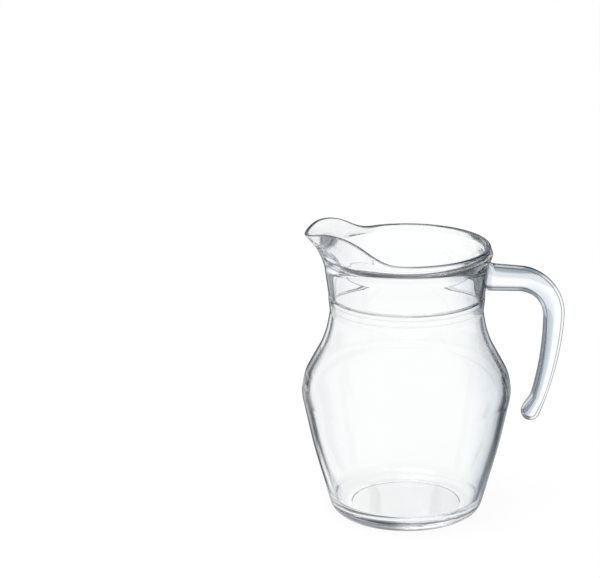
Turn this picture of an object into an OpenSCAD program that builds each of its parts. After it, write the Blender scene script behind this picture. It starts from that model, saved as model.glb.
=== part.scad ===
// Half-litre pouring jug of clear pressed glass: a bellied vessel with a collar, a lip drawn out to a spout,
// and a hooked handle stuck to the collar opposite the spout.
// Millimetres, +Z up, the origin on the axis at the level of the table, the spout towards -X.

/* [Foot] */
// Radius of the recess under the foot
kick_r = 26.5; // [18:0.5:28]
// Depth of the recess under the foot
kick_depth = 0.2; // [0.1:0.05:2.5]
// Width of the slope round the recess
kick_slope = 0.6; // [0.3:0.1:3]
// Radius at which the wall would meet the table if the heel were sharp
heel_r = 35.2; // [33:0.1:38]
// Rounding of the heel
heel_round = 8; // [4:0.5:10]

/* [Body] */
// Radius half way up the lower wall
flank_r = 44.6; // [42:0.1:47]
// Height of that half-way point above the table
flank_rise = 34; // [26:0.5:44]
// Rounding that bows the lower wall outwards
flank_round = 220; // [120:10:300]
// Radius at which the lower wall and the shoulder would meet if the belly were sharp
belly_r = 51.2; // [48:0.1:54]
// Height of the belly above the half-way point of the lower wall
belly_rise = 31; // [24:0.5:40]
// Rounding of the belly
belly_round = 21; // [10:1:26]
// Radius at which the shoulder turns into the neck
shoulder_r = 38.7; // [37:0.1:41]
// Height above the belly at which the shoulder turns into the neck
shoulder_rise = 23; // [18:0.5:30]
// Hollow rounding between the shoulder and the neck
shoulder_round = 40; // [12:1:46]

/* [Neck] */
// Radius of the narrowest part of the neck
waist_r = 36.5; // [34:0.1:38]
// Height of the narrowest part of the neck above the turn of the shoulder
waist_rise = 12.5; // [9:0.1:18]
// How far the ring stands out from the neck
ring_proud = 0.7; // [0.3:0.1:2]
// Height over which the ring swells out of the neck
ring_swell = 6.1; // [1:0.1:8]
// Height of the ring's face
ring_height = 1.5; // [1:0.1:5]
// Rounding into and out of the swell
swell_round = 3; // [0.5:0.1:6]

/* [Collar] */
// Depth of the groove between the ring and the collar, below the face of the ring
groove_depth = 0.7; // [0.3:0.05:1.2]
// Width of that groove
groove_width = 1.4; // [0.8:0.1:2.5]
// Rounding of the edges of the groove
groove_round = 0.4; // [0.1:0.05:0.6]
// Rounding at the bottom of the groove
groove_floor_round = 0.2; // [0.1:0.05:0.4]
// How far the bottom of the collar stands out from the neck
collar_step = 0.7; // [0.2:0.1:1.5]
// How far the collar opens towards its top
collar_flare = 2.2; // [0.5:0.1:4]
// Height of the collar
collar_height = 15.3; // [12:0.1:20]
// How far the ledge stands out from the top of the collar
ledge_proud = 1.3; // [0.5:0.1:2.5]
// Height over which the ledge swells out of the collar
ledge_rise = 3.8; // [2.5:0.1:6]
// Rounding under the ledge
ledge_round = 3; // [0.5:0.1:3.5]

/* [Wall] */
// Thickness of the floor above the table
floor_z = 6; // [4.5:0.1:9]
// How far inside the sharp heel the inner wall would meet the floor
heel_wall = 1; // [0.5:0.1:5]
// Rounding inside the heel
floor_round = 7; // [3:0.5:9]
// Thickness of the lower wall
flank_wall = 2.4; // [1.8:0.1:4]
// Thickness of the belly
belly_wall = 2.6; // [1.8:0.1:4]
// Thickness of the shoulder
shoulder_wall = 1.6; // [1.4:0.1:3.5]
// Thickness of the bottom of the collar
collar_wall = 3.8; // [2.5:0.1:5]
// Rounding inside the bottom of the collar
collar_bore_round = 12; // [4:1:16]
// Depth below the ledge at which the bore and the bell above it would meet if the corner were sharp
bell_depth = 3.2; // [2:0.1:5]
// Rounding with which the bore opens into that bell
bell_round = 10; // [4:0.5:12]

/* [Lip] */
// How far the middle of the rim stands in from the ledge
rim_setback = 2.3; // [1.8:0.1:3.5]
// Height of the rim above the ledge
rim_rise = 4.2; // [3:0.1:7]
// Thickness of the rim
rim_wall = 2.1; // [1.6:0.1:3]
// How much the lip thickens on its inside towards its foot
lip_swell = 0.45; // [0.2:0.05:1]
// How deep the lip is rooted in the collar
lip_root = 2; // [1:0.1:3]
// Thickness of that root
lip_root_wall = 2; // [1:0.1:2.4]
// How far the lip stands in from both edges of the ledge
lip_inset = 0.1; // [0.05:0.05:0.3]

/* [Spout] */
// How far the tip of the spout reaches out from the round rim
spout_reach = 9.4; // [5:0.1:13]
// Height of the tip of the spout above the rim
spout_rise = 7.4; // [4:0.1:10]
// Height of the two wings beside the tip, above the rim
wing_rise = 10.2; // [6:0.1:13]
// Angle of the wings, from the tip
wing_angle = 21; // [14:1:28]
// Angle at which the wings have run down to the plain rim
wing_foot_angle = 75; // [60:1:90]
// How far the sides of the spout are pinched in from the round rim
pinch_depth = 2.5; // [0:0.1:3.5]
// Angle of the pinch, from the tip
pinch_angle = 49; // [40:1:56]
// Angle at which the rim is round again
pinch_end_angle = 84; // [74:1:95]
// How blunt the tip is in plan: 1 is round, less is sharper
spout_bluntness = 0.8; // [0.5:0.02:1]

/* [Handle] */
// Height of the middle of the arm above the bottom of the collar, where they meet
arm_rise = 6.1; // [5:0.1:7]
// Slope of the arm, downwards from the collar
arm_slope = 5.3; // [0:0.1:8]
// Length of the straight arm, from the bottom of the collar out to the bend
arm_reach = 16.8; // [13:0.1:24]
// Radius of the bend, along the middle of the handle
bend_round = 19.2; // [16:0.1:24]
// Angle of the bend
bend_angle = 86.6; // [80:0.1:92]
// Radius of the leg's gentle curve
leg_round = 145; // [110:1:220]
// Length of the leg, from the bend to the middle of the tip
leg_length = 48.7; // [36:0.1:54]
// Height of the handle's section at the collar
arm_height = 13.6; // [10:0.1:14]
// Width of the handle's section at the collar
arm_width = 11.8; // [9:0.1:14]
// Height of the section at the lower end of the leg
leg_height = 7.4; // [6:0.1:9]
// Width of the section at the lower end of the leg
leg_width = 9.4; // [7:0.1:11]
// Radius of the knob at the tip
tip_r = 4.65; // [4.2:0.05:6]
// How far the knob stands towards the vessel
tip_shift = 1; // [0:0.1:2]
// Length over which the leg swells into the knob
tip_swell = 9; // [6:0.5:14]
// How far the root of the arm flares upwards on the collar
root_flare = 1.6; // [0:0.1:2.5]
// Length of that flare
root_flare_length = 5; // [3:0.5:8]
// How square the section is: 2 is an ellipse, more is squarer
squareness = 2.35; // [2:0.05:4]
// Gap at the seat of the handle on the collar
weld_gap = 0.02; // [0.01:0.01:0.1]

/* [Hidden] */
glass = [0.86, 0.92, 0.93, 0.4];
round_steps = 12;
lip_facets = 120;
lip_bands = 5;
rim_steps = 6;
handle_sides = 28;
arm_rings = 8;
bend_rings = 24;
leg_rings = 22;
cap_rings = 6;
// Most of an edge that one rounding may take up, so that two neighbours never meet
edge_share = 0.48;
// The same where the other end of the edge is sharp
whole_share = 0.95;
// How deep the arm reaches into the collar before its seat is cut
seat_depth = 4;
// Half of the angle at a corner from which on it counts as straight
straight_half = 89.9;
// How far round the knob its last ring lies
cap_sweep = 84;

// Heights above the table, each stacked on the one below
belly_z = flank_rise + belly_rise;
shoulder_z = belly_z + shoulder_rise;
waist_z = shoulder_z + waist_rise;
ring_low_z = waist_z + ring_swell;
ring_high_z = ring_low_z + ring_height;
groove_z = ring_high_z + groove_width / 2;
collar_low_z = ring_high_z + groove_width;
collar_high_z = collar_low_z + collar_height;
ledge_z = collar_high_z + ledge_rise;
rim_z = ledge_z + rim_rise;
top_z = rim_z + max(wing_rise, spout_rise);
bell_z = ledge_z - bell_depth;
arm_z = collar_low_z + arm_rise;
// Radii, each stepped out or in from the neck
ring_r = waist_r + ring_proud;
groove_r = ring_r - groove_depth;
collar_low_r = waist_r + collar_step;
collar_high_r = collar_low_r + collar_flare;
ledge_r = collar_high_r + ledge_proud;
collar_bore_r = collar_low_r - collar_wall;
rim_r = ledge_r - rim_setback;
bore_top_r = rim_r - rim_wall / 2 - lip_swell;
spout_tip_r = rim_r + spout_reach;
pinch_r = rim_r - pinch_depth;

// Outside of the vessel, from the edge of the recess to the ledge: radius, height and rounding of each corner
outer_corners = [
    [kick_r, 0, 0],
    [heel_r, 0, heel_round],
    [flank_r, flank_rise, flank_round],
    [belly_r, belly_z, belly_round],
    [shoulder_r, shoulder_z, shoulder_round],
    [waist_r, waist_z, swell_round],
    [ring_r, ring_low_z, swell_round],
    [ring_r, ring_high_z, groove_round],
    [groove_r, groove_z, groove_floor_round],
    [collar_low_r, collar_low_z, groove_round],
    [collar_high_r, collar_high_z, ledge_round],
    [ledge_r, ledge_z, 0]
];
// Inside of the vessel, from the mouth down to the middle of the floor
inner_corners = [
    [bore_top_r, ledge_z, 0],
    [collar_bore_r, bell_z, bell_round],
    [collar_bore_r, collar_low_z, collar_bore_round],
    [shoulder_r - shoulder_wall, shoulder_z, shoulder_round],
    [belly_r - belly_wall, belly_z, belly_round],
    [flank_r - flank_wall, flank_rise, flank_round],
    [heel_r - heel_wall, floor_z, floor_round],
    [0, floor_z, 0]
];
bend_length = bend_round * bend_angle * PI / 180;
arm_start_r = collar_low_r - seat_depth;
arm_length = (arm_reach + seat_depth) / cos(arm_slope);
path_length = arm_length + bend_length + leg_length;

// A number that runs smoothly from 0 to 1 as t does, level at both ends
function ease(t) = (1 - cos(180 * max(0, min(1, t)))) / 2;
// A value part way between a and b
function mix(a, b, t) = a + (b - a) * t;
// A number raised to a power with its sign kept
function signed_pow(x, p) = sign(x) * pow(abs(x), p);

// How much of the edge to a neighbour the rounding of a corner may take up
function edge_room(corner, neighbour) =
    norm([neighbour.x - corner.x, neighbour.y - corner.y]) * (neighbour.z > 0 ? edge_share : whole_share);

// The points of one rounded corner of a chain, where the rounding is limited by the edges beside it
function corner_points(before, corner, after) =
    let (p = [corner.x, corner.y],
         to_before = [before.x, before.y] - p,
         to_after = [after.x, after.y] - p,
         u = to_before / norm(to_before),
         v = to_after / norm(to_after),
         half = acos(max(-1, min(1, u * v))) / 2,
         room = min(edge_room(corner, before), edge_room(corner, after)),
         r = min(corner.z, room * tan(half)))
    r <= 0 || half > straight_half ? [p] :
    let (middle = p + (u + v) / norm(u + v) * r / sin(half),
         first = p + u * r / tan(half) - middle,
         last = p + v * r / tan(half) - middle,
         start = atan2(first.y, first.x),
         turn = (atan2(last.y, last.x) - start + 540) % 360 - 180)
    [for (i = [0 : round_steps])
        let (a = start + turn * i / round_steps)
        middle + r * [cos(a), sin(a)]];

// A chain of straight runs with its corners rounded
function rounded_chain(corners) = [
    for (i = [0 : len(corners) - 1])
        each i == 0 || i == len(corners) - 1
            ? [[corners[i].x, corners[i].y]]
            : corner_points(corners[i - 1], corners[i], corners[i + 1])
];

// Radius and height of the middle of the rim, at an angle from the tip of the spout
function rim_radius(a) = a < pinch_angle
    ? mix(spout_tip_r, pinch_r, ease(pow(a / pinch_angle, spout_bluntness)))
    : mix(pinch_r, rim_r, ease((a - pinch_angle) / (pinch_end_angle - pinch_angle)));
function rim_height(a) = a < wing_angle
    ? rim_z + mix(spout_rise, wing_rise, ease(a / wing_angle))
    : rim_z + mix(wing_rise, 0, ease((a - wing_angle) / (wing_foot_angle - wing_angle)));

// Section of the lip at an angle from the tip: up the outside, round the rim, down the inside and along its root
function lip_section(a) =
    let (foot_z = ledge_z + lip_inset,
         outer_foot = [ledge_r - lip_inset, foot_z],
         inner_foot = [bore_top_r + lip_inset, foot_z],
         middle = (outer_foot + inner_foot) / 2,
         root = [middle.x, ledge_z - lip_root],
         half_root = [lip_root_wall / 2, 0],
         edge = rim_wall / 2,
         top = [rim_radius(a), rim_height(a) - edge],
         lean = (top - middle) / norm(top - middle),
         across = [lean.y, -lean.x])
    [
        root + half_root,
        for (i = [0 : lip_bands - 1])
            mix(outer_foot, top + across * edge, i / lip_bands),
        for (i = [0 : rim_steps])
            let (t = 180 * i / rim_steps)
            top + edge * (across * cos(t) + lean * sin(t)),
        for (i = [lip_bands - 1 : -1 : 0])
            mix(inner_foot, top - across * edge, i / lip_bands),
        root - half_root
    ];

// Faces of a closed ring swept through sections, all with the same number of points
function ring_faces(rings, sides) = [
    for (i = [0 : rings - 1], j = [0 : sides - 1])
        let (a = i * sides + j,
             b = i * sides + (j + 1) % sides,
             c = (i + 1) % rings * sides + j,
             d = (i + 1) % rings * sides + (j + 1) % sides)
        each [[a, b, c], [b, d, c]]
];
// Faces of a closed tube swept through sections, with a flat end at each side
function tube_faces(rings, sides) = [
    for (i = [0 : rings - 2], j = [0 : sides - 1])
        let (a = i * sides + j,
             b = i * sides + (j + 1) % sides)
        each [[a, b, a + sides], [b, b + sides, a + sides]],
    [for (j = [sides - 1 : -1 : 0]) j],
    [for (j = [0 : sides - 1]) (rings - 1) * sides + j]
];

// Place along the middle of the handle, as distance from the axis, height and heading below the level
function arm_place(s) = [arm_start_r + s * cos(arm_slope), arm_z - (s - seat_depth) * sin(arm_slope), arm_slope];
function turned(place, radius, angle) =
    let (heading = place.z)
    [place.x + radius * (sin(heading + angle) - sin(heading)),
     place.y + radius * (cos(heading + angle) - cos(heading)),
     heading + angle];
bend_start = arm_place(arm_length);
leg_start = turned(bend_start, bend_round, bend_angle);
function handle_place(s) =
    s <= arm_length ? arm_place(s) :
    s <= arm_length + bend_length ? turned(bend_start, bend_round, (s - arm_length) / bend_round * 180 / PI) :
    turned(leg_start, leg_round, (s - arm_length - bend_length) / leg_round * 180 / PI);

// Half height, half width and inward shift of the handle's section at a distance along it
function handle_size(s) =
    let (t = s / (path_length - tip_swell),
         swell = ease((s - path_length + tip_swell) / tip_swell),
         flare = root_flare * pow(max(0, 1 - max(0, s - seat_depth) / root_flare_length), 2),
         height = mix(arm_height, leg_height, min(1, t)) / 2 + flare / 2,
         width = mix(arm_width, leg_width, min(1, t)) / 2)
    [mix(height, tip_r, swell), mix(width, tip_r, swell), tip_shift * swell - flare / 2];

// Points of one section of the handle: place on its path, half height, half width, shift and squareness
function handle_section(place, height, width, shift, power) =
    let (up = [sin(place.z), cos(place.z)])
    [for (i = [0 : handle_sides - 1])
        let (a = 360 * i / handle_sides,
             h = height * signed_pow(cos(a), 2 / power) - shift,
             w = width * signed_pow(sin(a), 2 / power))
        [place.x + up.x * h, w, place.y + up.y * h]];

handle_stops = concat(
    [for (i = [0 : arm_rings - 1]) arm_length * i / arm_rings],
    [for (i = [0 : bend_rings - 1]) arm_length + bend_length * i / bend_rings],
    [for (i = [0 : leg_rings]) arm_length + bend_length + leg_length * i / leg_rings]
);
tip_place = handle_place(path_length);
// The section turns from square to round on its way into the knob
function section_power(s) = mix(squareness, 2, ease((s - path_length + tip_swell) / tip_swell));
handle_sections = concat(
    [for (s = handle_stops)
        let (size = handle_size(s))
        handle_section(handle_place(s), size.x, size.y, size.z, section_power(s))],
    [for (i = [1 : cap_rings])
        let (a = cap_sweep * i / cap_rings,
             ahead = tip_r * sin(a))
        handle_section(
            [tip_place.x + ahead * cos(tip_place.z), tip_place.y - ahead * sin(tip_place.z), tip_place.z],
            tip_r * cos(a), tip_r * cos(a), tip_shift, 2)]
);

// Solid of revolution bounded by the outside of the vessel and the space above its ledge, grown by a gap
module outer_body(gap) {
    chain = rounded_chain(outer_corners);
    rotate_extrude()
        polygon(concat(
            [[0, 0]],
            [for (p = chain) [p.x + gap, p.y]],
            [[ledge_r + gap, top_z], [0, top_z]]));
}

// Body of the vessel, from the foot to the ledge
module turned_body() {
    rotate_extrude()
        polygon(concat(
            [[0, kick_depth], [kick_r - kick_slope, kick_depth]],
            rounded_chain(outer_corners),
            rounded_chain(inner_corners)));
}

// The lip above the ledge, drawn out into the spout
module lip() {
    sections = [for (i = [0 : lip_facets - 1])
        let (a = 360 * i / lip_facets - 180)
        [for (p = lip_section(abs(a))) [-p.x * cos(a), -p.x * sin(a), p.y]]];
    sides = len(sections[0]);
    polyhedron(points = [for (s = sections) each s], faces = ring_faces(lip_facets, sides));
}

module vessel() {
    color(glass) {
        turned_body();
        lip();
    }
}

module handle() {
    color(glass)
        difference() {
            polyhedron(points = [for (s = handle_sections) each s],
                       faces = tube_faces(len(handle_sections), handle_sides));
            outer_body(weld_gap);
        }
}

vessel();
handle();
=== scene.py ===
import math

import bmesh
import bpy
from mathutils import Matrix, Vector


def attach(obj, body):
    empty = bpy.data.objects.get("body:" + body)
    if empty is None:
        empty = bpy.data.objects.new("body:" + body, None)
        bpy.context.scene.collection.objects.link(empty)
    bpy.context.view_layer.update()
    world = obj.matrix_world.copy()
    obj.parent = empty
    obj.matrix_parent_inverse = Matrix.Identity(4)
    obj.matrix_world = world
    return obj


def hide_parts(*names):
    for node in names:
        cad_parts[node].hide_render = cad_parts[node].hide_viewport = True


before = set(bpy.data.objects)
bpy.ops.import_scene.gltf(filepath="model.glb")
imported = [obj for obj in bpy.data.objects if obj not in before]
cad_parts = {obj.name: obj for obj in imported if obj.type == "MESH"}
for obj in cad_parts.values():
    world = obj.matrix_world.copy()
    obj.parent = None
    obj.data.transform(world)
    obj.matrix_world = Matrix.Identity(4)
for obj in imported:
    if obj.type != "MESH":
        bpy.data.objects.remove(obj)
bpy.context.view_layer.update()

# Clear glass pouring jug. Sizes are in millimetres, as on the drawing of the jug, and angles in degrees
# unless they are turned into radians. MM turns millimetres into metres.
MM = 0.001
UP = (0, 0, 1)

# Camera, fitted to the outline in the photograph
FRAME_W = 600
FRAME_H = 578
TARGET = Vector((0, 0, 65))
TARGET_PX = (406.2, 381.0)
CAMERA_DISTANCE = 1300
CAMERA_AZIMUTH = -9.3
CAMERA_ELEVATION = 18.38
CAMERA_ROLL = -0.35
PIXELS_PER_MM = 2.085
SENSOR = 36
# Nearest and farthest that the camera sees, in metres
CLIP_START = 0.05
CLIP_END = 50

# Foot, body and neck of the vessel
KICK_R = 26.5
KICK_DEPTH = 0.2
KICK_SLOPE = 0.6
KICK_ROUND = 0.15
HEEL_R = 35.2
HEEL_ROUND = 8
FLANK_R = 44.6
FLANK_Z = 34
FLANK_ROUND = 220
BELLY_R = 51.2
BELLY_Z = 65
BELLY_ROUND = 21
SHOULDER_R = 38.7
SHOULDER_Z = 88
SHOULDER_ROUND = 40
WAIST_R = 36.5
WAIST_Z = 100.5
RING_R = 37.2
RING_LOW_Z = 106.6
RING_HIGH_Z = 108.1
SWELL_ROUND = 3
NOTCH_R = 36.5
NOTCH_Z = 108.8
NOTCH_ROUND = 0.2

# Collar and lip
COLLAR_LOW_R = 37.2
COLLAR_LOW_Z = 109.5
COLLAR_LOW_ROUND = 0.4
COLLAR_HIGH_R = 39.4
COLLAR_HIGH_Z = 124.8
LEDGE_R = 40.7
LEDGE_Z = 128.6
LEDGE_ROUND = 1.2
UNDERCUT_ROUND = 3
RIM_R = 38.4
RIM_Z = 132.8
RIM_WALL = 2.1
# How deep below its top the rim is marked for its painted shade, and over what height the mark fades
RIM_MARK_DEPTH = 0.7
RIM_MARK_FADE = 0.4

# Inside of the vessel
FLOOR_Z = 6
FLOOR_R = 34.2
FLOOR_ROUND = 7
FLANK_WALL = 2.4
BELLY_WALL = 2.6
SHOULDER_WALL = 1.6
COLLAR_BORE_R = 33.4
COLLAR_BORE_ROUND = 12
FLARE_R = 36.9
FLARE_Z = 128.7
FLARE_SLOPE = math.radians(47)
FLARE_ROUND = 10

# Spout, with angles measured from its tip
SPOUT_TIP_R = 47.8
SPOUT_TIP_Z = 140.2
SPOUT_ROOT_Z = 121
SPOUT_ROOT_ANGLE = 62
SPOUT_RIM_SHARE = 0.8
WING_Z = 142.92
WING_ANGLE = 21
WING_FOOT_ANGLE = 75
PINCH_R = 35.9
PINCH_ANGLE = 49
PINCH_END_ANGLE = 84
SPOUT_BLUNTNESS = 0.8
# Power of the curve in which the glass leans out below the tip
SPOUT_CURVE = 2

# Handle
ARM_Z = 115.6
ARM_SLOPE = math.radians(5.3)
BEND_START_R = 53.96
BEND_ROUND = 19.2
BEND_ANGLE = math.radians(86.6)
LEG_ROUND = 145
LEG_LENGTH = 48.7
ARM_HEIGHT = 13.6
ARM_WIDTH = 11.8
LEG_HEIGHT = 7.4
LEG_WIDTH = 9.4
TIP_R = 4.65
TIP_SHIFT = 1
TIP_SWELL = 9
ROOT_FLARE = 1.6
ROOT_FLARE_LENGTH = 5
# Power of the section's outline, where ROUND_SECTION makes an ellipse
SQUARENESS = 2.35
ROUND_SECTION = 2
SEAT_DEPTH = 4
# How deep the hot root of the handle has sunk into the collar
WELD_DEPTH = 0.5
# How far past the collar the first free section of the arm lies
ROOT_CLEAR = 0.5

# Fineness of the meshes: steps in degrees, lengths, counts and the shares that place rings
SPOUT_SPREAD = 60
SPOUT_STEP = 0.6
TURN_STEP = 1.5
ROUND_STEP = 4
ROUND_LEAST = 4
BODY_RUN_LENGTH = 6.0
LIP_RUN_LENGTH = 2.0
HANDLE_SIDES = 56
HANDLE_STATIONS = 110
TIP_RINGS = 12
TIP_TURN = 88
ROOT_SHARES = (0.8, 0.6, 0.4, 0.2, 0.05)
# How much of an edge a rounding may use up, with another large rounding at its far end and without
EDGE_SHARE = 0.48
WHOLE_EDGE = 0.95
SMALL_ROUND = 0.5
MERGE = 0.0005


def ease(t):
    """A number that runs smoothly from 0 to 1 as t does, level at both ends."""
    return (1 - math.cos(math.pi * max(0, min(1, t)))) / 2


def mix(a, b, t):
    """A value part way between a and b."""
    return a + (b - a) * t


def new_piece(name, bm, material):
    """A smooth mesh object made from a finished bmesh in millimetres."""
    bmesh.ops.scale(bm, vec=Vector((MM, MM, MM)), verts=bm.verts)
    mesh = bpy.data.meshes.new(name)
    bm.to_mesh(mesh)
    bm.free()
    mesh.materials.append(material)
    mesh.polygons.foreach_set("use_smooth", [True] * len(mesh.polygons))
    piece = bpy.data.objects.new(name, mesh)
    bpy.context.scene.collection.objects.link(piece)
    return piece


# Vessel


def draw_profile(bm, corners):
    """Draws a wall's half section as a chain of edges, rounds its corners and divides its long runs."""
    verts = [bm.verts.new((radius, 0, height)) for radius, height, _ in corners]
    for a, b in zip(verts, verts[1:]):
        bm.edges.new((a, b))
    places = [Vector((radius, height)) for radius, height, _ in corners]
    for i in range(1, len(corners) - 1):
        rounding = corners[i][2]
        if not rounding:
            continue
        back, ahead = places[i - 1] - places[i], places[i + 1] - places[i]
        room = min(
            (EDGE_SHARE if corners[i + side][2] > SMALL_ROUND else WHOLE_EDGE) * run.length
            for side, run in ((-1, back), (1, ahead)))
        corner = back.angle(ahead)
        turn = 180 - math.degrees(corner)
        bmesh.ops.bevel(
            bm, geom=[verts[i]], offset=min(rounding / math.tan(corner / 2), room), affect="VERTICES",
            segments=max(ROUND_LEAST, round(turn / ROUND_STEP)), profile=0.5, material=-1)
    for edge in list(bm.edges):
        in_lip = max(vert.co.z for vert in edge.verts) > SPOUT_ROOT_Z
        cuts = int(edge.calc_length() / (LIP_RUN_LENGTH if in_lip else BODY_RUN_LENGTH))
        if cuts:
            bmesh.ops.subdivide_edges(bm, edges=[edge], cuts=cuts)


def rim_radius(angle):
    """Radius of the middle of the rim at an angle from the tip of the spout."""
    if angle < PINCH_ANGLE:
        return mix(SPOUT_TIP_R, PINCH_R, ease((angle / PINCH_ANGLE) ** SPOUT_BLUNTNESS))
    return mix(PINCH_R, RIM_R, ease((angle - PINCH_ANGLE) / (PINCH_END_ANGLE - PINCH_ANGLE)))


def rim_height(angle):
    """Height of the top of the rim at an angle from the tip of the spout."""
    if angle < WING_ANGLE:
        return mix(SPOUT_TIP_Z, WING_Z, ease(angle / WING_ANGLE))
    return mix(WING_Z, RIM_Z, ease((angle - WING_ANGLE) / (WING_FOOT_ANGLE - WING_ANGLE)))


def mark_rim_shade(bm):
    """Marks the rounded rim, where the shade painted into the glass is darkest, before the spout is drawn
    out.
    """
    layer = bm.verts.layers.float.new("rim")
    for vert in bm.verts:
        vert[layer] = max(0, min(1, (vert.co.z - RIM_Z + RIM_MARK_DEPTH) / RIM_MARK_FADE))


def draw_out_spout(bm):
    """Draws the lip out into the spout: straight from the ledge at the sides, in a curve below the tip."""
    rim_edge_z = RIM_Z - RIM_WALL / 2
    for vert in bm.verts:
        angle = math.degrees(math.atan2(abs(vert.co.y), -vert.co.x))
        radius = math.hypot(vert.co.x, vert.co.y)
        outside = radius > RIM_R
        aside = ease(angle / SPOUT_ROOT_ANGLE)
        start = mix(SPOUT_ROOT_Z, LEDGE_Z, aside) if outside else LEDGE_Z
        share = min(1, (vert.co.z - start) / (rim_edge_z - start))
        if share <= 0:
            continue
        thinned = mix(radius, RIM_R, share * (1 - mix(SPOUT_RIM_SHARE, 1, aside)))
        if outside:
            above = max(0, vert.co.z - COLLAR_HIGH_Z) / (RIM_Z - COLLAR_HIGH_Z)
            plain = mix(COLLAR_HIGH_R, RIM_R + RIM_WALL / 2, above)
            thinned -= max(0, radius - plain) * (1 - aside)
        power = mix(SPOUT_CURVE, 1, aside) if outside else 1
        reach = thinned + (rim_radius(angle) - RIM_R) * share ** power
        vert.co.x *= reach / radius
        vert.co.y *= reach / radius
        vert.co.z += (rim_height(angle) - RIM_Z) * share


def make_vessel(material):
    """The body: a half section spun round the axis and mirrored, with its lip drawn out into the spout."""
    rim_out, rim_in = RIM_R + RIM_WALL / 2, RIM_R - RIM_WALL / 2
    rim_round = RIM_WALL / 2
    corners = [
        (0, KICK_DEPTH, 0),
        (KICK_R - KICK_SLOPE, KICK_DEPTH, KICK_ROUND),
        (KICK_R, 0, KICK_ROUND),
        (HEEL_R, 0, HEEL_ROUND),
        (FLANK_R, FLANK_Z, FLANK_ROUND),
        (BELLY_R, BELLY_Z, BELLY_ROUND),
        (SHOULDER_R, SHOULDER_Z, SHOULDER_ROUND),
        (WAIST_R, WAIST_Z, SWELL_ROUND),
        (RING_R, RING_LOW_Z, SWELL_ROUND),
        (RING_R, RING_HIGH_Z, COLLAR_LOW_ROUND),
        (NOTCH_R, NOTCH_Z, NOTCH_ROUND),
        (COLLAR_LOW_R, COLLAR_LOW_Z, COLLAR_LOW_ROUND),
        (COLLAR_HIGH_R, COLLAR_HIGH_Z, UNDERCUT_ROUND),
        (LEDGE_R, LEDGE_Z, LEDGE_ROUND),
        (rim_out, RIM_Z, rim_round),
        (rim_in, RIM_Z, rim_round),
        (FLARE_R, FLARE_Z, 0),
        (COLLAR_BORE_R, FLARE_Z - (FLARE_R - COLLAR_BORE_R) / math.tan(FLARE_SLOPE), FLARE_ROUND),
        (COLLAR_BORE_R, COLLAR_LOW_Z, COLLAR_BORE_ROUND),
        (SHOULDER_R - SHOULDER_WALL, SHOULDER_Z, SHOULDER_ROUND),
        (BELLY_R - BELLY_WALL, BELLY_Z, BELLY_ROUND),
        (FLANK_R - FLANK_WALL, FLANK_Z, FLANK_ROUND),
        (FLOOR_R, FLOOR_Z, FLOOR_ROUND),
        (0, FLOOR_Z, 0),
    ]
    bm = bmesh.new()
    draw_profile(bm, corners)
    edge = bm.verts[:] + bm.edges[:]
    for spread, step in ((180 - SPOUT_SPREAD, TURN_STEP), (SPOUT_SPREAD, SPOUT_STEP)):
        edge = bmesh.ops.spin(
            bm, geom=edge, cent=(0, 0, 0), axis=UP,
            angle=math.radians(spread), steps=round(spread / step))["geom_last"]
    bmesh.ops.mirror(bm, geom=bm.verts[:] + bm.edges[:] + bm.faces[:], axis="Y", merge_dist=MERGE)
    bmesh.ops.remove_doubles(bm, verts=bm.verts, dist=MERGE)
    mark_rim_shade(bm)
    draw_out_spout(bm)
    bmesh.ops.recalc_face_normals(bm, faces=bm.faces)
    return new_piece("vessel_glass_body", bm, material)


# Handle


def turned(place, radius, angle):
    """The distance out, height and heading at the end of an arc that turns down from a place."""
    out, height, heading = place
    return (
        out + radius * (math.sin(heading + angle) - math.sin(heading)),
        height + radius * (math.cos(heading + angle) - math.cos(heading)),
        heading + angle,
    )


def collar_radius(height):
    """Outer radius of the collar at a height."""
    share = (height - COLLAR_LOW_Z) / (COLLAR_HIGH_Z - COLLAR_LOW_Z)
    return mix(COLLAR_LOW_R, COLLAR_HIGH_R, share)


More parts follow.
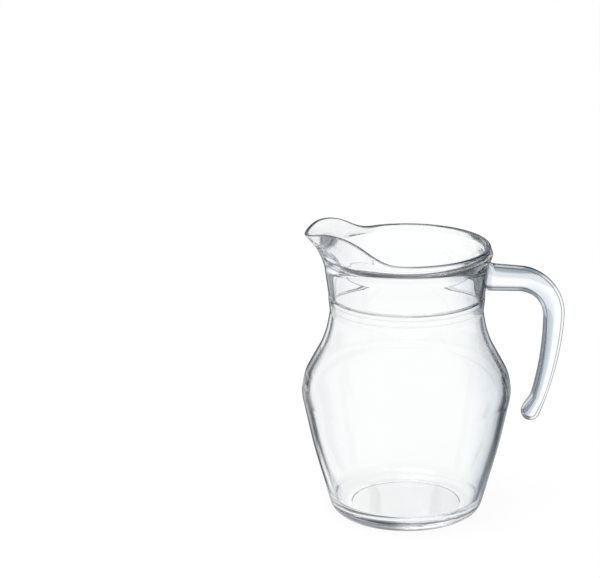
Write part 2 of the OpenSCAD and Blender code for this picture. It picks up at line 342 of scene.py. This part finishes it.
def make_handle(material):
    """The hook: rings extruded along its path, closed by a round end and by the seat of its root."""
    arm_length = (BEND_START_R - COLLAR_LOW_R) / math.cos(ARM_SLOPE)
    bend_length = BEND_ROUND * BEND_ANGLE
    path_length = arm_length + bend_length + LEG_LENGTH
    bend_start = (BEND_START_R, ARM_Z - arm_length * math.sin(ARM_SLOPE), ARM_SLOPE)
    leg_start = turned(bend_start, BEND_ROUND, BEND_ANGLE)

    def place_at(along):
        """Distance out, height and heading of the path at a length along it."""
        if along <= arm_length:
            share = along / arm_length
            return mix(COLLAR_LOW_R, bend_start[0], share), mix(ARM_Z, bend_start[1], share), ARM_SLOPE
        if along <= arm_length + bend_length:
            return turned(bend_start, BEND_ROUND, (along - arm_length) / BEND_ROUND)
        return turned(leg_start, LEG_ROUND, (along - arm_length - bend_length) / LEG_ROUND)

    def size_at(along):
        """Half height, half width, inward shift and squareness of the section."""
        thin = min(1, (along + SEAT_DEPTH) / (path_length + SEAT_DEPTH - TIP_SWELL))
        swell = ease((along - path_length + TIP_SWELL) / TIP_SWELL)
        flare = ROOT_FLARE * max(0, 1 - along / ROOT_FLARE_LENGTH) ** 2
        height = mix(ARM_HEIGHT, LEG_HEIGHT, thin) / 2 + flare / 2
        width = mix(ARM_WIDTH, LEG_WIDTH, thin) / 2
        shift = TIP_SHIFT * swell - flare / 2
        power = mix(SQUARENESS, ROUND_SECTION, swell)
        return mix(height, TIP_R, swell), mix(width, TIP_R, swell), shift, power

    def set_ring(ring, place, size):
        """Moves a ring's vertices to the outline of the section at a place."""
        out, height, heading = place
        half_height, half_width, shift, power = size
        for i, vert in enumerate(ring):
            turn = 2 * math.pi * i / HANDLE_SIDES
            up = math.copysign(abs(math.cos(turn)) ** (2 / power), math.cos(turn)) * half_height - shift
            side = math.copysign(abs(math.sin(turn)) ** (2 / power), math.sin(turn)) * half_width
            vert.co = (out + math.sin(heading) * up, side, height + math.cos(heading) * up)

    def seat(ring):
        """Sinks a ring of the root into the collar."""
        for vert in ring:
            reach = collar_radius(vert.co.z) - WELD_DEPTH
            vert.co.x = math.sqrt(reach ** 2 - vert.co.y ** 2)

    bm = bmesh.new()
    ring = bmesh.ops.create_circle(bm, segments=HANDLE_SIDES, radius=1)["verts"]

    def next_ring(ring):
        """Extrudes a ring and gives the new one, in the same order."""
        edges = [bm.edges.get((a, b)) for a, b in zip(ring, ring[1:] + ring[:1])]
        count = len(bm.verts)
        bmesh.ops.extrude_edge_only(bm, edges=edges)
        bm.verts.ensure_lookup_table()
        made = set(bm.verts[count:])
        return [next(e.other_vert(v) for e in v.link_edges if e.other_vert(v) in made) for v in ring]

    first = ring
    set_ring(ring, place_at(0), size_at(0))
    seat(ring)
    for i in range(1, HANDLE_STATIONS + 1):
        along = path_length * i / HANDLE_STATIONS
        if place_at(along)[0] < COLLAR_HIGH_R + ROOT_CLEAR:
            continue
        ring = next_ring(ring)
        set_ring(ring, place_at(along), size_at(along))
    tip = place_at(path_length)
    for i in range(1, TIP_RINGS + 1):
        turn = math.radians(TIP_TURN * i / TIP_RINGS)
        ahead = TIP_R * math.sin(turn)
        ring = next_ring(ring)
        small = TIP_R * math.cos(turn)
        place = (tip[0] + ahead * math.cos(tip[2]), tip[1] - ahead * math.sin(tip[2]), tip[2])
        set_ring(ring, place, (small, small, TIP_SHIFT, ROUND_SECTION))
    bm.faces.new(ring)
    ring = first
    middle = sum((v.co for v in first), Vector()) / len(first)
    for share in ROOT_SHARES:
        ring = next_ring(ring)
        for vert, edge_vert in zip(ring, first):
            vert.co = middle + (edge_vert.co - middle) * share
        seat(ring)
    bm.faces.new(ring)
    bmesh.ops.recalc_face_normals(bm, faces=bm.faces)
    return new_piece("handle_glass_hook", bm, material)


# Nodes


WHITE = (1, 1, 1)


def ramp_stops(stops, low, high):
    """Stops of a ramp, moved from a range of heights or angles to 0 to 1. A plain number is a grey."""
    return [
        ((place - low) / (high - low), tint if isinstance(tint, tuple) else (tint, tint, tint))
        for place, tint in stops]


def link_math(tree, operation, *values):
    """Adds a math node that takes numbers or sockets, and gives its output."""
    node = tree.nodes.new("ShaderNodeMath")
    node.operation = operation
    for socket, value in zip(node.inputs, values):
        if isinstance(value, (int, float)):
            socket.default_value = value
        else:
            tree.links.new(value, socket)
    return node.outputs[0]


def link_ramp(tree, value, stops):
    """Adds a colour ramp through stops of (place, colour), and gives its colour output."""
    node = tree.nodes.new("ShaderNodeValToRGB")
    ramp = node.color_ramp
    ramp.interpolation = "EASE"
    while len(ramp.elements) < len(stops):
        ramp.elements.new(0.5)
    for element, (place, colour) in zip(ramp.elements, stops):
        element.position = place
        element.color = (*colour, 1)
    tree.links.new(value, node.inputs["Fac"])
    return node.outputs["Color"]


def link_mix(tree, share, a, b):
    """Adds a colour mix of two colours or sockets, and gives its output."""
    node = tree.nodes.new("ShaderNodeMix")
    node.data_type = "RGBA"
    sockets = [s for s in node.inputs if s.type == "RGBA"]
    tree.links.new(share, node.inputs["Factor"])
    for socket, value in zip(sockets, (a, b)):
        if isinstance(value, tuple):
            socket.default_value = (*value, 1)
        else:
            tree.links.new(value, socket)
    return next(s for s in node.outputs if s.type == "RGBA")


def link_product(tree, a, b):
    """Adds a product of two colours, and gives its output."""
    node = tree.nodes.new("ShaderNodeVectorMath")
    node.operation = "MULTIPLY"
    tree.links.new(a, node.inputs[0])
    tree.links.new(b, node.inputs[1])
    return node.outputs["Vector"]


def link_dot(tree, vector, direction):
    """Adds a dot product of a vector socket with a fixed direction, and gives its value."""
    node = tree.nodes.new("ShaderNodeVectorMath")
    node.operation = "DOT_PRODUCT"
    node.inputs[1].default_value = direction
    tree.links.new(vector, node.inputs[0])
    return node.outputs["Value"]


# Glass


# Painted shade of the glass by how far its surface turns away from the eye, from face on to edge on: past
# CLEAR, the glass's own faint colour, the dark stops paint dark edges, and a dark inner line on the handle
CLEAR = (0.985, 0.992, 0.992)
VESSEL_EDGE_SHADE = [
    (0.0, CLEAR),
    (0.75, CLEAR),
    (0.82, (0.07, 0.08, 0.09)),
    (0.87, (0.012, 0.014, 0.016)),
    (1.0, (0.004, 0.005, 0.006)),
]
HANDLE_EDGE_SHADE = [
    (0.0, CLEAR),
    (0.22, CLEAR),
    (0.26, (0.10, 0.11, 0.12)),
    (0.30, (0.10, 0.11, 0.12)),
    (0.35, CLEAR),
    (0.52, CLEAR),
    (0.68, (0.20, 0.22, 0.24)),
    (0.85, (0.04, 0.045, 0.05)),
    (1.0, (0.01, 0.012, 0.015)),
]
# Painted grey shade in bands on the thick handle, by how far its surface faces up and inwards
HANDLE_SHADE_SIDE = (-0.5, 0, 0.85)
HANDLE_SHADE = [
    (0.0, WHITE),
    (0.05, WHITE),
    (0.12, (0.60, 0.64, 0.68)),
    (0.34, (0.56, 0.61, 0.66)),
    (0.44, (0.14, 0.16, 0.19)),
    (0.68, (0.14, 0.16, 0.19)),
    (0.77, (0.95, 0.96, 0.97)),
    (1.0, (0.95, 0.96, 0.97)),
]
# Painted shade of light that was mirrored once, by how slanted it leaves the glass: a dark band painted
# into the glass's colour in place of dark reflections
MIRRORED_SHADE = [
    (0.0, CLEAR),
    (0.205, CLEAR),
    (0.214, (0.02, 0.025, 0.03)),
    (0.232, (0.02, 0.025, 0.03)),
    (0.242, (0.3, 0.32, 0.34)),
    (0.256, (0.3, 0.32, 0.34)),
    (0.27, CLEAR),
    (1.0, CLEAR),
]
# How much more slanted mirrored light counts for that painted shade, by height: less in the thick foot,
# more in the collar
TALLEST = 150
SLANT_SHIFT = [
    (0, 0.0),
    (6, 0.0),
    (20, 0.06),
    (34, 0.075),
    (46, 0.09),
    (80, 0.09),
    (88, 0.03),
    (103, 0.03),
    (107, 0.11),
    (TALLEST, 0.11),
]
SLANT_START = 0.1
# Number of reflections past which light counts as mirrored more than once, and the shade painted on it by
# height
DEEP_DEPTH = 1.5
DEEP_SHADE = [
    (0, (0.75, 0.80, 0.85)),
    (10, (0.6, 0.64, 0.68)),
    (20, (0.16, 0.17, 0.18)),
    (104, (0.16, 0.17, 0.18)),
    (108, (0.25, 0.27, 0.29)),
    (TALLEST, (0.25, 0.27, 0.29)),
]
# Light that was trapped between the walls for longer gets the darkest painted shade
TRAPPED_DEPTH = 7.5
TRAPPED_SHADE = (0.02, 0.022, 0.025)
# Light mirrored more than once that leaves through the thin glass of the spout gets a pale blue-grey
# painted shade instead of a darker one. The spout is where a place, in metres along SPOUT_SIDE, lies past
# the border.
SPOUT_SHADE = (0.90, 0.94, 0.98)
SPOUT_SIDE = (-1, 0, 0.3)
SPOUT_BORDER = 0.058
SPOUT_SHARPNESS = 100
# Heights between which all mirrored light in the lip takes the spout's pale blue-grey painted shade
LIP_LOW = 127
LIP_HIGH = 131
# Painted shade along the foot, the neck, the ring's groove and the ledge, by height, on the outside only:
# dark lines in place of the outlines these edges show in the glass
LINES_HIGH = 132
LINES = [
    (0, 1.0),
    (0.4, 1.0),
    (1.0, 0.12),
    (2.2, 0.12),
    (3.0, 1.0),
    (5.3, 1.0),
    (5.8, 0.04),
    (6.4, 0.04),
    (6.9, 1.0),
    (102.8, 1.0),
    (103.1, 0.72),
    (103.4, 1.0),
    (106.0, 1.0),
    (106.3, 0.6),
    (106.6, 1.0),
    (107.85, 1.0),
    (108.2, 0.1),
    (108.6, 0.1),
    (108.95, 1.0),
    (128.3, 1.0),
    (128.7, 0.06),
    (129.2, 0.06),
    (129.6, 1.0),
    (132, 1.0),
]
# The outside is where this much of the radius, in millimetres, lies along the normal
OUTSIDE = 5
# Painted shade along the rounded rim
RIM_SHADE = (0.12, 0.13, 0.15)
# Faint waves that pressing leaves: how many to a metre, how high they are, and the roughness between them
WAVES = 48
WAVE_DETAIL = 1
WAVE_HEIGHT = 0.06
LEAST_ROUGH = 0.0
MOST_ROUGH = 0.015
GLASS_IOR = 1.5


def make_finish_group():
    """Node group with the waves of pressed glass, as a normal and as a roughness."""
    group = bpy.data.node_groups.new("pressed_finish", "ShaderNodeTree")
    group.interface.new_socket("Place", in_out="INPUT", socket_type="NodeSocketVector")
    group.interface.new_socket("Normal", in_out="OUTPUT", socket_type="NodeSocketVector")
    group.interface.new_socket("Roughness", in_out="OUTPUT", socket_type="NodeSocketFloat")
    given = group.nodes.new("NodeGroupInput")
    result = group.nodes.new("NodeGroupOutput")
    noise = group.nodes.new("ShaderNodeTexNoise")
    noise.inputs["Scale"].default_value = WAVES
    noise.inputs["Detail"].default_value = WAVE_DETAIL
    group.links.new(given.outputs["Place"], noise.inputs["Vector"])
    bump = group.nodes.new("ShaderNodeBump")
    bump.inputs["Strength"].default_value = 1
    bump.inputs["Distance"].default_value = WAVE_HEIGHT * MM
    group.links.new(noise.outputs["Fac"], bump.inputs["Height"])
    group.links.new(bump.outputs["Normal"], result.inputs["Normal"])
    rough = link_math(group, "MULTIPLY_ADD", noise.outputs["Fac"], MOST_ROUGH - LEAST_ROUGH, LEAST_ROUGH)
    group.links.new(rough, result.inputs["Roughness"])
    return group


def link_bounced_shade(tree, path, place, turned_away):
    """The shade painted on light that was mirrored on its way, and a mask that is 1 where it was."""
    height = link_math(tree, "DIVIDE", link_dot(tree, place, UP), TALLEST * MM)
    shift = link_ramp(tree, height, ramp_stops(SLANT_SHIFT, 0, TALLEST))
    slant = link_math(tree, "SUBTRACT", link_math(tree, "ADD", turned_away, shift), SLANT_START)
    once_shade = link_ramp(tree, slant, MIRRORED_SHADE)
    deep = link_math(tree, "GREATER_THAN", path.outputs["Glossy Depth"], DEEP_DEPTH)
    deep_shade = link_ramp(tree, height, ramp_stops(DEEP_SHADE, 0, TALLEST))
    trapped = link_math(tree, "GREATER_THAN", path.outputs["Glossy Depth"], TRAPPED_DEPTH)
    deep_shade = link_mix(tree, trapped, deep_shade, TRAPPED_SHADE)
    past_border = link_math(tree, "SUBTRACT", link_dot(tree, place, SPOUT_SIDE), SPOUT_BORDER)
    spout = link_math(tree, "MULTIPLY", past_border, SPOUT_SHARPNESS)
    deep_shade = link_mix(tree, spout, deep_shade, SPOUT_SHADE)
    tint = link_mix(tree, deep, once_shade, deep_shade)
    rise = LIP_HIGH - LIP_LOW
    lip = link_math(tree, "MULTIPLY_ADD", link_dot(tree, place, UP), 1 / rise / MM, -LIP_LOW / rise)
    tint = link_mix(tree, lip, tint, SPOUT_SHADE)
    return tint, link_math(tree, "MAXIMUM", path.outputs["Is Reflection Ray"], deep)


def link_lines(tree, place, geometry):
    """The painted shade of the lines on the outside of the vessel and along its rim."""
    height = link_math(tree, "DIVIDE", link_dot(tree, place, UP), LINES_HIGH * MM)
    shade = link_ramp(tree, height, ramp_stops(LINES, 0, LINES_HIGH))
    flat = tree.nodes.new("ShaderNodeVectorMath")
    flat.operation = "MULTIPLY"
    flat.inputs[1].default_value = (1, 1, 0)
    tree.links.new(place, flat.inputs[0])
    outwards = tree.nodes.new("ShaderNodeVectorMath")
    outwards.operation = "DOT_PRODUCT"
    tree.links.new(flat.outputs["Vector"], outwards.inputs[0])
    tree.links.new(geometry.outputs["True Normal"], outwards.inputs[1])
    inside = link_math(tree, "LESS_THAN", outwards.outputs["Value"], OUTSIDE * MM)
    unseen = link_math(tree, "MAXIMUM", inside, geometry.outputs["Backfacing"])
    shade = link_mix(tree, unseen, shade, WHITE)
    # The rim's painted shade, where the rim is marked
    rim = tree.nodes.new("ShaderNodeAttribute")
    rim.attribute_name = "rim"
    return link_mix(tree, rim.outputs["Fac"], shade, RIM_SHADE)


def clear_glass(name, finish, edge_shade, lines=False, handle_shade=False):
    """Clear glass with shade painted into its colour: darker towards its edges and in the light it
    mirrors, with the vessel's painted lines or the handle's painted grey bands.
    """
    material = bpy.data.materials.new(name)
    material.use_nodes = True
    tree = material.node_tree
    shader = tree.nodes["Principled BSDF"]
    turned_away = tree.nodes.new("ShaderNodeLayerWeight").outputs["Facing"]
    path = tree.nodes.new("ShaderNodeLightPath")
    place = tree.nodes.new("ShaderNodeTexCoord").outputs["Object"]
    geometry = tree.nodes.new("ShaderNodeNewGeometry")
    # Painted shade: dark edges, and the handle's grey bands, on the near side only; mirrored light takes
    # its own painted shade
    tint = link_ramp(tree, turned_away, edge_shade)
    if handle_shade:
        facing = link_dot(tree, geometry.outputs["True Normal"], HANDLE_SHADE_SIDE)
        tint = link_product(tree, tint, link_ramp(tree, facing, HANDLE_SHADE))
    tint = link_mix(tree, geometry.outputs["Backfacing"], tint, CLEAR)
    bounced_shade, bounced = link_bounced_shade(tree, path, place, turned_away)
    tint = link_mix(tree, bounced, tint, bounced_shade)
    if lines:
        tint = link_product(tree, tint, link_lines(tree, place, geometry))
    tree.links.new(tint, shader.inputs["Base Color"])
    waves = tree.nodes.new("ShaderNodeGroup")
    waves.node_tree = finish
    tree.links.new(place, waves.inputs["Place"])
    tree.links.new(waves.outputs["Normal"], shader.inputs["Normal"])
    tree.links.new(waves.outputs["Roughness"], shader.inputs["Roughness"])
    shader.inputs["IOR"].default_value = GLASS_IOR
    shader.inputs["Transmission Weight"].default_value = 1
    return material


# Studio


# Directions along and across the line of view, on the table
VIEW_TURN = math.radians(CAMERA_AZIMUTH)
AHEAD = (-math.sin(VIEW_TURN), math.cos(VIEW_TURN), 0)
ASIDE = (math.cos(VIEW_TURN), math.sin(VIEW_TURN), 0)

# What stands round the table, by the angle from the line of view: white sweep, grey cards and pale walls
CARDS = [
    (-180, WHITE),
    (3, WHITE),
    (13, (0.76, 0.80, 0.85)),
    (26, (0.64, 0.69, 0.75)),
    (66, (0.60, 0.64, 0.69)),
    (90, (0.75, 0.78, 0.81)),
    (120, WHITE),
    (180, WHITE),
]
# Dark cards on both sides, which show only by way of a reflection, and so not straight through the glass
SIDE_CARDS = [
    (-180, WHITE),
    (-48, (0.96, 0.97, 0.98)),
    (-40, (0.12, 0.13, 0.14)),
    (-31, (0.12, 0.13, 0.14)),
    (-26, WHITE),
    (26, WHITE),
    (31, (0.22, 0.235, 0.245)),
    (56, (0.32, 0.35, 0.38)),
    (66, WHITE),
    (180, WHITE),
]
# Number of reflections past which light has come by way of one
GLANCED_DEPTH = 0.5
# Dark flags on both sides of the sweep, by the angle from the line of view, which show only in the gloss
FLAGS = [
    (0, WHITE),
    (3, WHITE),
    (7, (0.1, 0.11, 0.12)),
    (15, (0.1, 0.11, 0.12)),
    (23, WHITE),
    (180, WHITE),
]
# Brightness of the studio by the angle above the table, ahead and on the right
RIGHT_HEIGHTS = [
    (-90, WHITE),
    (2, WHITE),
    (10, (0.35, 0.37, 0.40)),
    (40, (0.25, 0.27, 0.30)),
    (60, WHITE),
    (90, WHITE),
]
# Slope and start of the fade to white on the left and towards the camera
LEFT_FADE = (-4, 0.6)
FRONT_FADE = (-2, 0.5)
# Where the cards on the left of the table leave a gap, by the distance behind the jug
CARD_GAP_REACH = 400
CARD_GAP = [(0, 0), (190, 0), (205, 1), (255, 1), (272, 0), (CARD_GAP_REACH, 0)]
# Place of the cards on the table: shift to the left, distance from the middle, and shift to the front
CARD_SHIFT = 7.5
CARD_DISTANCE = 37.5
CARD_FRONT = 20
# Floor, in metres, its paint, and how much of what is seen of it glows
FLOOR_RADIUS = 6
FLOOR_SIDES = 96
FLOOR_PAINT = (0.9, 0.9, 0.9)
FLOOR_GLOW = 0.94
# Soft lamp above the jug, a little to its front left, in metres and watts
LAMP_PLACE = (-0.4, -0.3, 1.9)
LAMP_SIZE = 1.2
LAMP_POWER = 28
# Light crosses and skims the glass many times
LIGHT_BOUNCES = 128


def make_cards_group():
    """Node group with the colour of the studio in a direction, from how far it leads aside and ahead."""
    group = bpy.data.node_groups.new("studio_cards", "ShaderNodeTree")
    for name in ("Aside", "Ahead", "Mirrored", "Glanced"):
        group.interface.new_socket(name, in_out="INPUT", socket_type="NodeSocketFloat")
    group.interface.new_socket("Colour", in_out="OUTPUT", socket_type="NodeSocketColor")
    given = group.nodes.new("NodeGroupInput")
    result = group.nodes.new("NodeGroupOutput")
    turn = link_math(group, "ARCTAN2", given.outputs["Aside"], given.outputs["Ahead"])
    place = link_math(group, "MULTIPLY_ADD", turn, 0.5 / math.pi, 0.5)
    colour = link_ramp(group, place, ramp_stops(CARDS, -180, 180))
    side_cards = link_ramp(group, place, ramp_stops(SIDE_CARDS, -180, 180))
    colour = link_mix(group, given.outputs["Glanced"], colour, link_product(group, colour, side_cards))
    away = link_math(group, "DIVIDE", link_math(group, "ABSOLUTE", turn), math.pi)
    flags = link_ramp(group, away, ramp_stops(FLAGS, 0, 180))
    colour = link_mix(group, given.outputs["Mirrored"], colour, link_product(group, colour, flags))
    group.links.new(colour, result.inputs["Colour"])
    return group


def place_cards(tree, cards, path):
    """Adds the studio's group to a tree, told which light came by way of a reflection."""
    group = tree.nodes.new("ShaderNodeGroup")
    group.node_tree = cards
    tree.links.new(path.outputs["Is Reflection Ray"], group.inputs["Mirrored"])
    glanced = link_math(tree, "GREATER_THAN", path.outputs["Glossy Depth"], GLANCED_DEPTH)
    tree.links.new(glanced, group.inputs["Glanced"])
    return group


def link_seen(tree, path):
    """A mask that is 1 for what the camera sees directly, in a gloss or through glass."""
    direct = link_math(tree, "MAXIMUM", path.outputs["Is Camera Ray"], path.outputs["Is Glossy Ray"])
    return link_math(tree, "MAXIMUM", direct, path.outputs["Is Transmission Ray"])


def pale_floor(cards):
    """Floor that looks white, shows the cards that lie on it to the glass, and keeps the shadow."""
    material = bpy.data.materials.new("pale_floor")
    material.use_nodes = True
    tree = material.node_tree
    tree.nodes.clear()
    place = tree.nodes.new("ShaderNodeTexCoord").outputs["Object"]
    path = tree.nodes.new("ShaderNodeLightPath")
    group = place_cards(tree, cards, path)
    side = link_math(tree, "ADD", link_dot(tree, place, ASIDE), CARD_SHIFT * MM)
    beyond = link_math(tree, "SUBTRACT", link_math(tree, "ABSOLUTE", side), CARD_DISTANCE * MM)
    beyond = link_math(tree, "MAXIMUM", beyond, 0)
    aside = link_math(tree, "MULTIPLY", beyond, link_math(tree, "SIGN", side))
    tree.links.new(aside, group.inputs["Aside"])
    behind = link_dot(tree, place, AHEAD)
    tree.links.new(link_math(tree, "ADD", behind, CARD_FRONT * MM), group.inputs["Ahead"])
    gap_place = link_math(tree, "DIVIDE", behind, CARD_GAP_REACH * MM)
    gap = link_ramp(tree, gap_place, ramp_stops(CARD_GAP, 0, CARD_GAP_REACH))
    gap = link_math(tree, "MULTIPLY", gap, link_math(tree, "LESS_THAN", side, 0))
    colour = link_mix(tree, gap, group.outputs["Colour"], WHITE)
    colour = link_mix(tree, path.outputs["Is Camera Ray"], colour, WHITE)
    glow = tree.nodes.new("ShaderNodeEmission")
    tree.links.new(colour, glow.inputs["Color"])
    paint = tree.nodes.new("ShaderNodeBsdfDiffuse")
    paint.inputs["Color"].default_value = (*FLOOR_PAINT, 1)
    blend = tree.nodes.new("ShaderNodeMixShader")
    tree.links.new(link_math(tree, "MULTIPLY", link_seen(tree, path), FLOOR_GLOW), blend.inputs[0])
    tree.links.new(paint.outputs[0], blend.inputs[1])
    tree.links.new(glow.outputs[0], blend.inputs[2])
    output = tree.nodes.new("ShaderNodeOutputMaterial")
    tree.links.new(blend.outputs[0], output.inputs["Surface"])
    return material


def make_floor(cards):
    bm = bmesh.new()
    bmesh.ops.create_circle(bm, cap_ends=True, segments=FLOOR_SIDES, radius=FLOOR_RADIUS)
    mesh = bpy.data.meshes.new("studio_floor")
    bm.to_mesh(mesh)
    bm.free()
    mesh.materials.append(pale_floor(cards))
    floor = bpy.data.objects.new("studio_floor", mesh)
    bpy.context.scene.collection.objects.link(floor)


def make_world(cards):
    """White to the eye, and the studio's cards and walls to the glass."""
    world = bpy.data.worlds.new("studio")
    bpy.context.scene.world = world
    world.use_nodes = True
    tree = world.node_tree
    tree.nodes.clear()
    direction = tree.nodes.new("ShaderNodeTexCoord").outputs["Generated"]
    path = tree.nodes.new("ShaderNodeLightPath")
    aside, ahead = link_dot(tree, direction, ASIDE), link_dot(tree, direction, AHEAD)
    group = place_cards(tree, cards, path)
    tree.links.new(aside, group.inputs["Aside"])
    tree.links.new(ahead, group.inputs["Ahead"])
    raised = link_math(tree, "ARCSINE", link_dot(tree, direction, UP))
    height = link_math(tree, "MULTIPLY_ADD", raised, 1 / math.pi, 0.5)
    level = link_ramp(tree, height, ramp_stops(RIGHT_HEIGHTS, -90, 90))
    left = link_math(tree, "MULTIPLY_ADD", aside, *LEFT_FADE)
    front = link_math(tree, "MULTIPLY_ADD", ahead, *FRONT_FADE)
    level = link_mix(tree, link_math(tree, "MAXIMUM", front, left), level, WHITE)
    shade = link_product(tree, group.outputs["Colour"], level)
    colour = link_mix(tree, path.outputs["Is Camera Ray"], shade, WHITE)
    background = tree.nodes.new("ShaderNodeBackground")
    tree.links.new(colour, background.inputs["Color"])
    output = tree.nodes.new("ShaderNodeOutputWorld")
    tree.links.new(background.outputs[0], output.inputs["Surface"])


def make_camera():
    """The camera of the photograph, turned so that the target lies at its place in the frame."""
    azimuth, elevation = math.radians(CAMERA_AZIMUTH), math.radians(CAMERA_ELEVATION)
    back = Vector((
        math.sin(azimuth) * math.cos(elevation),
        -math.cos(azimuth) * math.cos(elevation),
        math.sin(elevation)))
    data = bpy.data.cameras.new("camera")
    data.sensor_width = SENSOR
    data.lens = PIXELS_PER_MM * CAMERA_DISTANCE / FRAME_W * SENSOR
    data.clip_start, data.clip_end = CLIP_START, CLIP_END
    camera = bpy.data.objects.new("camera", data)
    bpy.context.scene.collection.objects.link(camera)
    camera.location = (TARGET + back * CAMERA_DISTANCE) * MM
    facing = (-back).to_track_quat("-Z", "Y").to_matrix()
    focal = PIXELS_PER_MM * CAMERA_DISTANCE
    yaw = math.atan((TARGET_PX[0] - FRAME_W / 2) / focal)
    pitch = math.atan((TARGET_PX[1] - FRAME_H / 2) / focal)
    turn = Matrix.Rotation(yaw, 3, "Y") @ Matrix.Rotation(pitch, 3, "X")
    roll = Matrix.Rotation(math.radians(CAMERA_ROLL), 3, "Z")
    camera.rotation_euler = (facing @ roll.inverted() @ turn).to_euler()
    bpy.context.scene.camera = camera


def make_lamp():
    data = bpy.data.lights.new("softbox", "AREA")
    data.shape = "DISK"
    data.size = LAMP_SIZE
    data.energy = LAMP_POWER
    lamp = bpy.data.objects.new("softbox", data)
    lamp.location = LAMP_PLACE
    lamp.rotation_euler = (-Vector(LAMP_PLACE)).to_track_quat("-Z", "Y").to_euler()
    bpy.context.scene.collection.objects.link(lamp)


scene = bpy.context.scene
scene.view_settings.view_transform = "Standard"
scene.cycles.max_bounces = LIGHT_BOUNCES
scene.cycles.transmission_bounces = LIGHT_BOUNCES
scene.cycles.glossy_bounces = LIGHT_BOUNCES

make_camera()
cards = make_cards_group()
make_world(cards)
make_lamp()
make_floor(cards)

finish = make_finish_group()
vessel = make_vessel(clear_glass("vessel_glass", finish, VESSEL_EDGE_SHADE, lines=True))
handle = make_handle(clear_glass("handle_glass", finish, HANDLE_EDGE_SHADE, handle_shade=True))
for piece, node in ((vessel, "vessel"), (handle, "handle")):
    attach(piece, "root")
    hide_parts(node)
